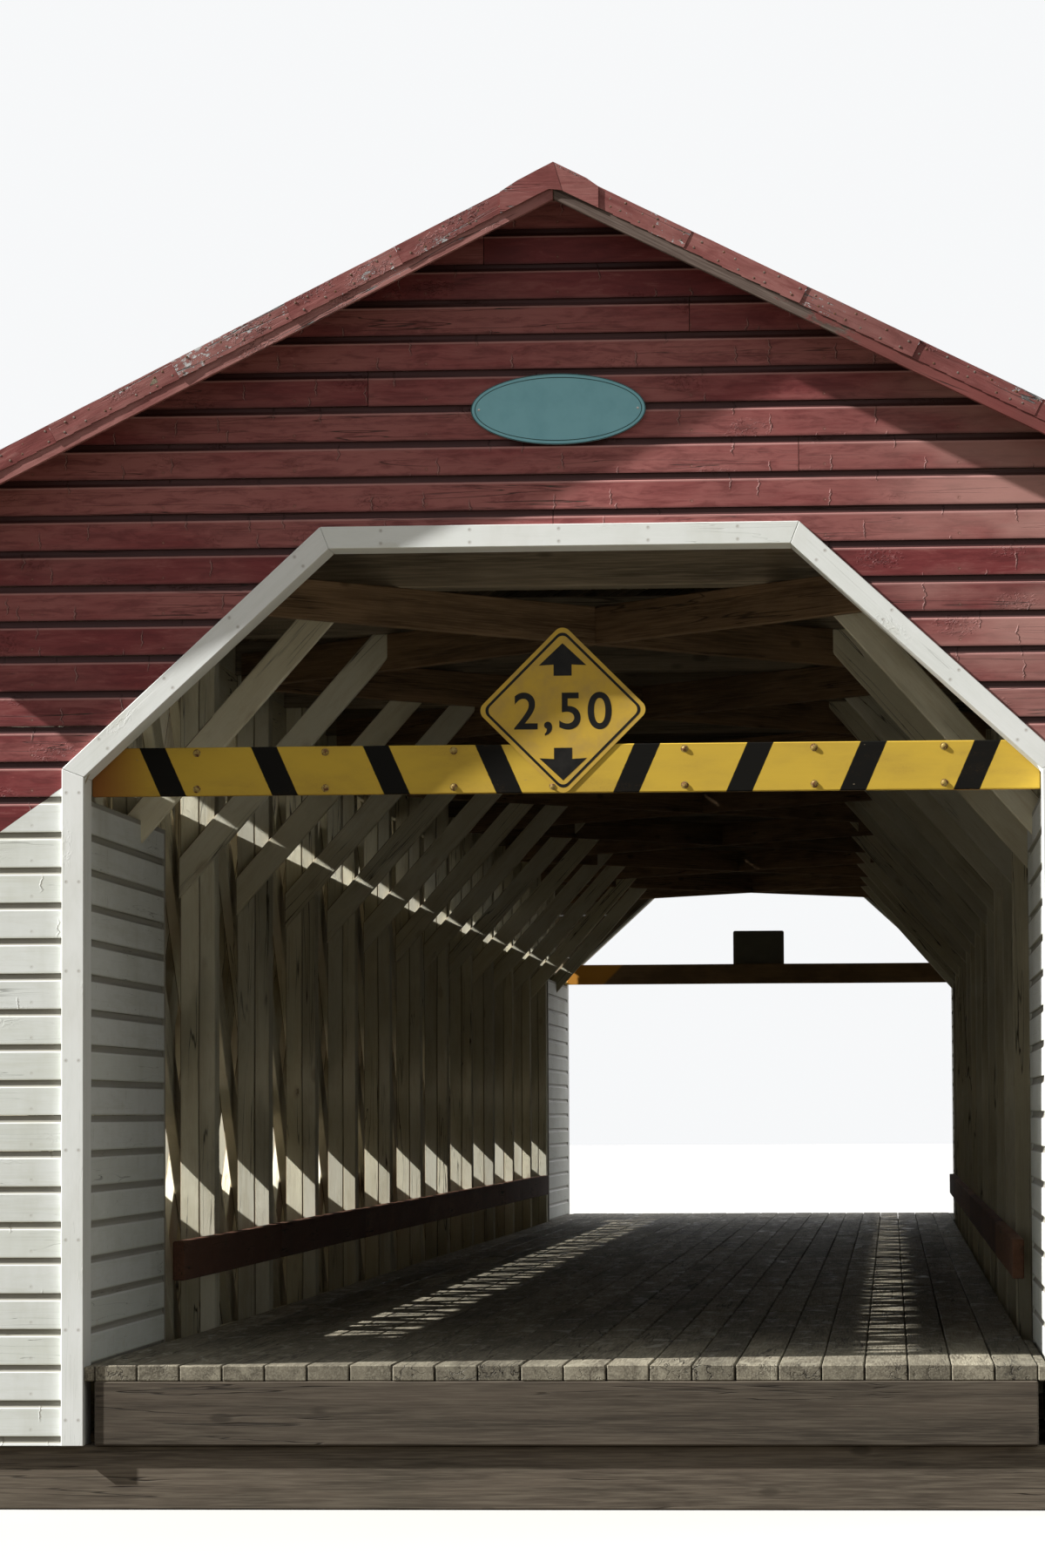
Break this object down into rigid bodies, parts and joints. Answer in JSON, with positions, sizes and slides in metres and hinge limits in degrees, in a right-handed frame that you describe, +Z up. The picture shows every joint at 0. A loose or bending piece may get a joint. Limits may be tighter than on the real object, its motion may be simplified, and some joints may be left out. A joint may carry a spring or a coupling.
{
  "type": "covered bridge",
  "caption": "Gable-roofed timber road bridge with lattice trusses, board siding, white-cased portals and striped clearance beams.",
  "frame": {"origin": "middle of the length and width, on the level of the bed timbers' undersides", "axes": "+Z up, +Y along the roadway from the near portal to the far one, +X to the right seen from the near portal"},
  "size_m": [6.8, 37.08, 6.277],
  "materials": {
    "deck_wood": "weathered, worn by traffic",
    "frame_timber": "rough sawn, darkened",
    "truss_wood": "rough sawn, limewashed and weathered",
    "rail_paint": "worn red-brown paint",
    "red_siding": "weathered dark red paint on drop siding",
    "white_siding": "weathered white paint on drop siding",
    "white_trim": "white paint",
    "red_trim": "peeling dark red paint",
    "roof_shingle": "weathered cedar shingles",
    "beam_yellow": "yellow paint with black stripes",
    "sign_plate": "sheeting on a metal plate",
    "plaque_enamel": "pale blue, satin"
  },
  "bodies": {
    "root": {"deck_planking": "deck_wood", "deck_stringers": "frame_timber", "floor_beams": "frame_timber", "bed_timbers": "frame_timber", "floor_bracing": "frame_timber", "left_bottom_chord": "frame_timber", "right_bottom_chord": "frame_timber", "left_top_chord": "frame_timber", "right_top_chord": "frame_timber", "siding_studs": "frame_timber", "tie_beams": "frame_timber", "top_bracing": "frame_timber", "rafters": "frame_timber", "portal_frames": "frame_timber", "left_lattice": "truss_wood", "right_lattice": "truss_wood", "left_posts": "truss_wood", "right_posts": "truss_wood", "knee_braces": "truss_wood", "guard_rails": "rail_paint", "left_lower_siding": "red_siding", "left_upper_siding": "red_siding", "right_lower_siding": "red_siding", "right_upper_siding": "red_siding", "near_gable": "red_siding", "far_gable": "red_siding", "near_haunch_walls": "red_siding", "far_haunch_walls": "red_siding", "near_front_panels": "white_siding", "far_front_panels": "white_siding", "near_reveal_walls": "white_siding", "far_reveal_walls": "white_siding", "near_arch_trim": "white_trim", "far_arch_trim": "white_trim", "ridge_cap": "red_trim", "eave_boards": "red_trim", "near_rake_boards": "red_trim", "far_rake_boards": "red_trim", "left_roof": "roof_shingle", "right_roof": "roof_shingle", "near_clearance_beam": "beam_yellow", "far_clearance_beam": "beam_yellow", "near_height_sign": "sign_plate", "far_height_sign": "sign_plate", "oval_plaque": "plaque_enamel"}
  },
  "joints": []
}
